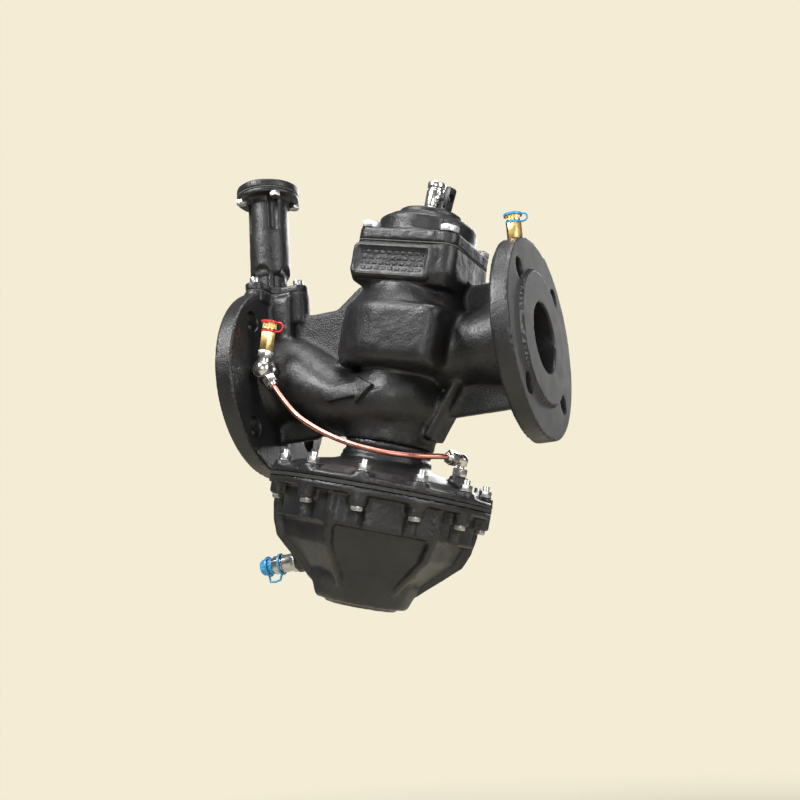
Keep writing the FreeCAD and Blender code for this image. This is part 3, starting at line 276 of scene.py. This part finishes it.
def recast(node, voxel_mm, sharp, rounds, wave_mm, seed, coarse=None, flowing=None):
    """The node as a sand casting: edges run together in small fillets and the skin is a little uneven.
    sharp(co, final) gives 0 where a machined surface stays true, and on the last call moves points onto it.
    coarse(co) gives the grain of the skin, and flowing(co) gives 1 where walls meet in large fillets."""
    obj = copy_of(node, node + "_cast")
    grid = obj.modifiers.new("grid", "REMESH")
    grid.mode = "VOXEL"
    grid.voxel_size = voxel_mm * MM
    mesh = settled(obj)
    co = coordinates(mesh)
    free = sharp(co, False)
    co = relaxed(mesh, co, free, rounds, CAST_STEP)
    if flowing:
        co = relaxed(mesh, co, free * flowing(co), FLOW_ROUNDS, FLOW_STEP)
    put(mesh, co)
    wave = (0.7 * lumps(co, 16, seed) + 0.4 * lumps(co, 5.5, seed + 1)) * wave_mm * MM
    co = co + normals(mesh) * (wave * free)[:, None]
    co = sharp(co, True)
    put(mesh, co)
    grain = mesh.attributes.new("grain", "FLOAT", "POINT")
    grain.data.foreach_set("value", (coarse(co) if coarse else np.full(len(co), 0.35)).astype(np.float32))
    shade(mesh, 38)
    return stand_for(obj, node)


def eased(node, width_mm):
    """The node with its sharp edges broken by a small round."""
    obj = copy_of(node, node + "_eased")
    weld = obj.modifiers.new("weld", "WELD")
    weld.merge_threshold = 0.00001
    edge = obj.modifiers.new("edge", "BEVEL")
    edge.width = width_mm * MM
    edge.segments = 2
    edge.limit_method = "ANGLE"
    edge.angle_limit = math.radians(30)
    edge.use_clamp_overlap = True
    shade(settled(obj), 40)
    return stand_for(obj, node)


# ------------------------------------------------------------ the valve body
def spindle_parts(co):
    """Across (towards +X), sideways (Y) and height along the leaning spindle, in metres."""
    from_foot = co - SPINDLE_FOOT
    return from_foot @ V, co[:, 1], from_foot @ U


def near(value, target, reach_mm=0.95):
    """Whether value is within reach_mm of target, where both are in metres."""
    return np.abs(value - target) < reach_mm * MM


EDGE_ROUND = 0.7 * MM                # round on the machined edges
SNAP_REACH = 0.95 * MM               # half a voxel of the body: how far a point may move onto a surface


def ring_section(radial, depth, r_low, r_high, d_low, d_high):
    """Nearest points on a ring of rounded rectangular section, and which points are close to it."""
    core_r = np.clip(radial, r_low + EDGE_ROUND, r_high - EDGE_ROUND)
    core_d = np.clip(depth, d_low + EDGE_ROUND, d_high - EDGE_ROUND)
    out_r, out_d = radial - core_r, depth - core_d
    gap = np.hypot(out_r, out_d)
    reach = EDGE_ROUND / np.maximum(gap, 1e-9)
    close = (gap > 0.15 * MM) & (np.abs(gap - EDGE_ROUND) < SNAP_REACH)
    return core_r + out_r * reach, core_d + out_d * reach, close


def settle_on(co, rows, centre, radial, depth, face, inward):
    """Moves rows to a radius about a centre line along the pipe and a depth behind a flange face."""
    y, z = co[rows, 1] - centre[0], co[rows, 2] - centre[1]
    scale = radial[rows] / np.hypot(y, z)
    co[rows, 1] = centre[0] + y * scale
    co[rows, 2] = centre[1] + z * scale
    co[rows, 0] = face + inward * depth[rows]


def flange_surfaces(co, final):
    """Machined flange faces, bores, rims and bolt holes of both ends."""
    machined = np.zeros(len(co), bool)
    for face, inward, hole_r in ((0.0, 1.0, INLET_HOLE_R), (LENGTH, -1.0, OUTLET_HOLE_R)):
        shapes = [((0, 0), (-OUTSIDE, FLANGE_R, RAISED_T, FLANGE_T), RAISED_R + 0.2 * MM, OUTSIDE),
                  ((0, 0), (BORE_R, RAISED_R, 0, FLANGE_T), 0, RAISED_R + 1 * MM)]
        for k in range(4):
            turn = math.radians(45 + 90 * k)
            centre = HOLE_PITCH_R * math.cos(turn), HOLE_PITCH_R * math.sin(turn)
            shapes.append((centre, (hole_r, OUTSIDE, RAISED_T, FLANGE_T), 0, hole_r + 2.2 * MM))
        for number, (centre, section, inside, outside) in enumerate(shapes):
            radial = np.hypot(co[:, 1] - centre[0], co[:, 2] - centre[1])
            depth = (co[:, 0] - face) * inward
            at_radius, at_depth, close = ring_section(radial, depth, *section)
            rows = close & (radial > inside) & (radial < outside) & (co[:, 2] < COLUMN_JOINT - 1 * MM)
            if number == 1:      # the raised face's outer wall stops at the flange plate
                rows &= (depth < RAISED_T - 0.1 * MM) | (radial < RAISED_R - 10 * MM)
            machined |= rows
            if final:
                settle_on(co, rows, centre, at_radius, at_depth, face, inward)
    return machined


def body_surfaces(co, final):
    """0 on machined surfaces and 1 on the cast skin; with final, the points settled on the flanges."""
    machined = flange_surfaces(co, final)
    if final:
        return co
    across, _, height = spindle_parts(co)
    machined |= near(height, BONNET_JOINT) & (np.abs(across) < BONNET_JOINT_HALF)
    machined |= near(co[:, 2], COLUMN_JOINT) & (co[:, 0] < COLUMN_PAD_END)
    return np.where(machined, 0.0, 1.0)


def body_grain(co):
    """Coarse skin on the web between flange and chamber, fine skin elsewhere."""
    on_web = np.abs(co[:, 1]) < 7 * MM
    return np.where(on_web, 1.0, 0.38)


def faded(value, low_mm, high_mm):
    """0 below low_mm, 1 above high_mm."""
    return np.clip((value / MM - low_mm) / (high_mm - low_mm), 0, 1)


def body_fillets(co):
    """1 around the passage, less on the drum, and 0 on the rib, the web, the block and the flanges."""
    _, side, height = spindle_parts(co)
    under_block = faded(-height, -52, -44)
    over_collar = faded(height, -79, -72)
    behind_inlet = faded(co[:, 0], 24, 34)
    behind_outlet = faded(LENGTH - co[:, 0], 54, 68)
    beside_web = faded(np.abs(side), 6, 14)
    on_rib = faded(co[:, 0], 160, 168) * faded(-co[:, 2], 14, 20) * (np.abs(side) < 20 * MM)
    drum_share = 1 - 0.6 * faded(height, -12, 0)
    return under_block * over_collar * behind_inlet * behind_outlet * beside_web * (1 - on_rib) * drum_share


body = recast("body_casting", 1.8, body_surfaces, rounds=5, wave_mm=0.3, seed=3, coarse=body_grain,
              flowing=body_fillets)


def paint_machined_faces(obj):
    """The joint faces of both flanges carry a thin matt coat over turning marks."""
    mesh = obj.data
    mesh.materials.append(FINISH["machined_face"])
    for face in mesh.polygons:
        if abs(face.normal.x) > 0.98:
            x = face.center.x
            from_end = min(x, LENGTH - x)
            on_face = from_end < 0.5 * MM or near(from_end, RAISED_T, 0.3)
            if on_face and math.hypot(face.center.y, face.center.z) < FLANGE_R:
                face.material_index = 1


paint_machined_faces(body)


# ------------------------------------------------------------ raised marks on the casting
CAST_FROM = 0.1            # how far in front of the skin a mark's grid starts, in metres
SKIRT_MM = 0.4             # how far a mark's border goes under the skin
MARK_PITCH_MM = 0.5


def marks_on(target, outline_height, size_mm, origin, right, up, into, name, lift_mm):
    """A raised mark laid on target: grid points (a, b) with height from outline_height, cast along into."""
    tree = BVHTree.FromPolygons([v.co.copy() for v in target.data.vertices],
                                [p.vertices[:] for p in target.data.polygons])
    points, faces, index = [], [], {}
    origin, right, up, into = (Vector(w) for w in (origin, right, up, into))
    columns, rows = (round(side / MARK_PITCH_MM) for side in size_mm)
    for j in range(rows + 1):
        for i in range(columns + 1):
            a, b = i * MARK_PITCH_MM, j * MARK_PITCH_MM
            height = outline_height(a, b)
            if height is None:
                continue
            start = origin + right * a * MM + up * b * MM - into * CAST_FROM
            hit, normal, _, _ = tree.ray_cast(start, into)
            if hit is None:
                continue
            index[i, j] = len(points)
            outward = (normal - into).normalized()
            points.append(hit + outward * (height * lift_mm - SKIRT_MM) * MM)
    for (i, j) in index:
        corners = [(i, j), (i + 1, j), (i + 1, j + 1), (i, j + 1)]
        if all(c in index for c in corners):
            faces.append([index[c] for c in corners])
    mesh = bpy.data.meshes.new(name)
    mesh.from_pydata(points, [], faces)
    mesh.update()
    obj = bpy.data.objects.new(name, mesh)
    bpy.context.scene.collection.objects.link(obj)
    mesh.materials.append(FINISH["black_casting"])
    grain = mesh.attributes.new("grain", "FLOAT", "POINT")
    grain.data.foreach_set("value", [0.5] * len(points))
    shade(mesh, 60)
    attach(obj, "valve_body")
    return obj


def arrow_height(a, b):
    """1 on the arrow, falling to 0 over its cast draft; a is along it from the tail, b across it, in mm."""
    length, half_shaft, half_head, head = 52.0, 6.6, 13.0, 19.0
    side = abs(b - 14)
    tail = half_shaft - math.hypot(min(a - half_shaft, 0.0), side)
    inside = tail if a < length - head + 1.5 else -9.0
    barb = min(a - (length - head), (length - a) * half_head / head - side)
    reach = max(inside, barb)
    return None if reach < -1.4 else min(1.0, max(0.0, (reach + 1.0) / 1.3))


ARROW_TILT = math.radians(1.5)
marks_on(body, arrow_height, (54, 28), (91 * MM, -60 * MM, -46 * MM),
         (math.cos(ARROW_TILT), 0, math.sin(ARROW_TILT)), (-math.sin(ARROW_TILT), 0, math.cos(ARROW_TILT)),
         (0, 1, 0), "flow_arrow", 3.8)

PANEL_AT = SPINDLE_FOOT - 46 * MM * V + 66 * MM * U + np.array([0, -80, 0]) * MM
PANEL_W, PANEL_H, PANEL_ROUND = 79.0, 34.0, 6.0
PATTERN_W, PATTERN_H = PANEL_W - 16, PANEL_H - 14


def rounded_depth(a, b, width, height, corner):
    """How far (a, b) lies inside a rounded rectangle."""
    x, y = abs(a - width / 2) - width / 2 + corner, abs(b - height / 2) - height / 2 + corner
    return corner - math.hypot(max(x, 0), max(y, 0)) - min(max(x, y), 0)


def panel_height(a, b):
    """A round-topped frame about 4 mm wide."""
    depth = rounded_depth(a, b, PANEL_W, PANEL_H, PANEL_ROUND)
    edge = min(depth, 5.0 - depth)
    return None if edge < -0.8 else min(1.0, max(0.0, (edge + 0.6) / 1.6))


marks_on(body, panel_height, (PANEL_W, PANEL_H), PANEL_AT, V, U, (0, 1, 0), "panel_frame", 1.4)


def panel_pattern(a, b):
    """Plain raised pips in staggered rows."""
    row = math.floor(b / 5.0)
    x, y = (a + (row % 2) * 3.5) % 7.0 - 3.5, b % 5.0 - 2.5
    reach = 1.6 - max(abs(x) * 0.62, abs(y))
    inside = rounded_depth(a, b, PATTERN_W, PATTERN_H, 3.0)
    if reach < -0.4 or inside < 0.5:
        return None
    return min(1.0, max(0.0, (reach + 0.4) / 0.9))


marks_on(body, panel_pattern, (PATTERN_W, PATTERN_H), PANEL_AT + (8 * V + 7 * U) * MM, V, U, (0, 1, 0),
         "panel_pattern", 1.0)

# ------------------------------------------------------------ covers, bowl and column
def keep_none(co, final):
    """No machined surfaces: every point is cast skin."""
    return co if final else np.ones(len(co))


for node, voxel in (("lower_casing", 1.6), ("upper_diaphragm_cover", 1.5), ("column_housing", 1.1),
                    ("column_cover", 1.0), ("bonnet_cover", 1.1)):
    recast(node, voxel, keep_none, rounds=3, wave_mm=0.22, seed=len(node))

for node in ("bonnet_bolts", "casing_bolts", "casing_nuts", "casing_washers", "column_foot_bolts",
             "column_cover_bolts", "vent_valve_body", "vent_lever", "vent_lever_nut", "inlet_test_tee",
             "inlet_test_plug", "inlet_test_cap", "tube_nut_inlet", "tube_nut_casing", "casing_elbow",
             "outlet_test_plug", "outlet_test_cap", "drain_elbow", "drain_cock", "drain_cap", "bleed_plug"):
    eased(node, 0.3)


def coil_between(node):
    """A copy of the spring with smooth shading that takes the node's place on its body."""
    obj = copy_of(node, node + "_coil")
    shade(obj.data, 40)
    stand_for(obj, node)
    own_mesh(obj)


coil_between("main_spring")
coil_between("setpoint_spring")

for node, obj in NODES.items():
    if not obj.hide_render:
        obj.data.materials.clear()
        obj.data.materials.append(FINISH[SLOT_OF[node]])


# ------------------------------------------------------------ floor, light and camera
def area_light(name, place, towards, size, power):
    """A rectangular lamp of a size in metres and a power in watts, aimed at towards."""
    lamp = bpy.data.lights.new(name, "AREA")
    lamp.shape = "RECTANGLE"
    lamp.size, lamp.size_y = size
    lamp.energy = power
    obj = bpy.data.objects.new(name, lamp)
    bpy.context.scene.collection.objects.link(obj)
    obj.location = place
    obj.rotation_euler = (Vector(towards) - Vector(place)).to_track_quat("-Z", "Y").to_euler()


PAPER = (0.905, 0.84, 0.665)
LIT_PAPER = (0.51, 0.475, 0.38)      # shows as PAPER once the lamps are on it
FLOOR_Z = -0.46
FLOOR_R = 1.15
FLOOR_FADE = (0.35, 0.9)             # from here outwards the floor turns into the plain backdrop
VALVE_MIDDLE = (0.15, 0, 0)
LENS_MM, SENSOR_MM = 50.52, 36
CAMERA_PLACE = (0.5497, -0.9373, -0.273)
CAMERA_TURN_DEG = (103.147, 3.411, 24.246)


def paper_floor():
    """Pale paper that takes a soft shadow near the valve and ends as an even backdrop."""
    paper = bpy.data.materials.new("paper")
    paper.use_nodes = True
    tree = paper.node_tree
    shader = tree.nodes["Principled BSDF"]
    shader.inputs["Base Color"].default_value = (*LIT_PAPER, 1)
    shader.inputs["Roughness"].default_value = 0.95
    glow = tree.nodes.new("ShaderNodeEmission")
    glow.inputs["Color"].default_value = (*PAPER, 1)
    where = tree.nodes.new("ShaderNodeTexCoord")
    away = tree.nodes.new("ShaderNodeVectorMath")
    away.operation = "LENGTH"
    fade = tree.nodes.new("ShaderNodeMapRange")
    fade.interpolation_type = "SMOOTHSTEP"
    fade.inputs["From Min"].default_value, fade.inputs["From Max"].default_value = FLOOR_FADE
    mix = tree.nodes.new("ShaderNodeMixShader")
    tree.links.new(where.outputs["Object"], away.inputs[0])
    tree.links.new(away.outputs["Value"], fade.inputs["Value"])
    tree.links.new(fade.outputs["Result"], mix.inputs[0])
    tree.links.new(shader.outputs[0], mix.inputs[1])
    tree.links.new(glow.outputs[0], mix.inputs[2])
    tree.links.new(mix.outputs[0], tree.nodes["Material Output"].inputs["Surface"])
    return paper


def studio():
    """The floor, an even backdrop that only the camera sees, a soft fill and five lamps."""
    under = (VALVE_MIDDLE[0], VALVE_MIDDLE[1], FLOOR_Z)
    bpy.ops.mesh.primitive_circle_add(vertices=96, radius=FLOOR_R, fill_type="NGON", location=under)
    floor = bpy.context.object
    floor.name = "studio_floor"
    floor.data.materials.append(paper_floor())

    world = bpy.data.worlds.new("studio")
    bpy.context.scene.world = world
    world.use_nodes = True
    tree = world.node_tree
    back = tree.nodes["Background"]
    back.inputs["Color"].default_value = (*PAPER, 1)
    back.inputs["Strength"].default_value = 1.0
    fill = tree.nodes.new("ShaderNodeBackground")
    fill.inputs["Color"].default_value = (1, 0.98, 0.94, 1)
    fill.inputs["Strength"].default_value = 0.16
    seen = tree.nodes.new("ShaderNodeLightPath")
    mix = tree.nodes.new("ShaderNodeMixShader")
    tree.links.new(seen.outputs["Is Camera Ray"], mix.inputs[0])
    tree.links.new(fill.outputs[0], mix.inputs[1])
    tree.links.new(back.outputs[0], mix.inputs[2])
    tree.links.new(mix.outputs[0], tree.nodes["World Output"].inputs["Surface"])

    area_light("key", (-0.45, -1.0, 1.05), VALVE_MIDDLE, (0.6, 0.6), 30)
    area_light("side", (1.5, -0.45, 0.35), (0.29, 0, 0), (0.7, 1.0), 16)
    area_light("front", (0.5, -1.5, 0.15), (0.1, 0, -0.1), (0.5, 0.5), 7)
    area_light("top", (0.3, -0.1, 1.5), VALVE_MIDDLE, (0.8, 0.8), 16)
    area_light("back", (0.1, 1.5, 0.6), VALVE_MIDDLE, (1.0, 0.8), 14)


studio()

lens = bpy.data.cameras.new("camera")
lens.sensor_width = SENSOR_MM
lens.lens = LENS_MM
lens.shift_x = 0.003
lens.clip_end = 60
camera = bpy.data.objects.new("camera", lens)
camera.location = CAMERA_PLACE
camera.rotation_euler = [math.radians(angle) for angle in CAMERA_TURN_DEG]
bpy.context.scene.collection.objects.link(camera)
bpy.context.scene.camera = camera
bpy.context.scene.view_settings.view_transform = "Standard"
